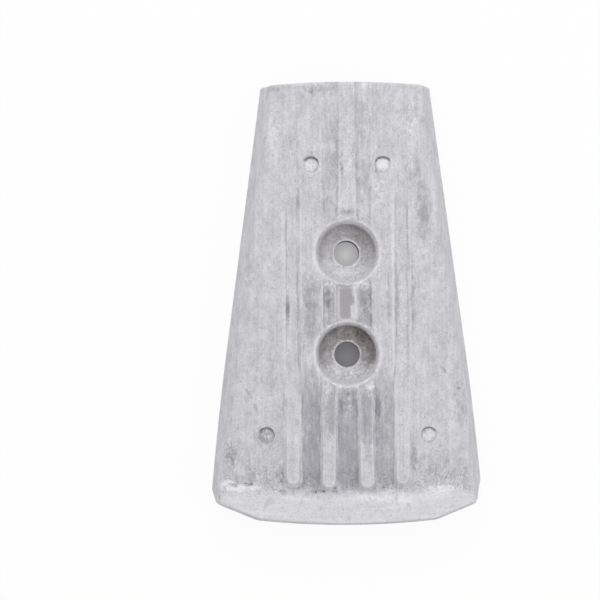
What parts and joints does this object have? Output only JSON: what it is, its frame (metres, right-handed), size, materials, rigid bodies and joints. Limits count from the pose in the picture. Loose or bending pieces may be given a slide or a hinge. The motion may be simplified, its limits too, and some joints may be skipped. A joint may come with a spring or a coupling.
{
  "type": "sacrificial anode",
  "caption": "Tapered cast metal block with a crowned, ribbed face, a flat back and bolt holes in round recesses; it corrodes in place of a boat's drive.",
  "frame": {"origin": "on the flat back, midway between the two bolt holes", "axes": "+Y along the line of the bolt holes toward the narrow end, +Z out of the ribbed face, +X to the right of someone facing the ribbed face with the narrow end up"},
  "size_m": [0.1024, 0.1676, 0.022],
  "materials": {
    "cast_anode_alloy": "as cast, dull and slightly mottled, with rubbed edges"
  },
  "bodies": {
    "root": {"anode": "cast_anode_alloy"}
  },
  "joints": []
}
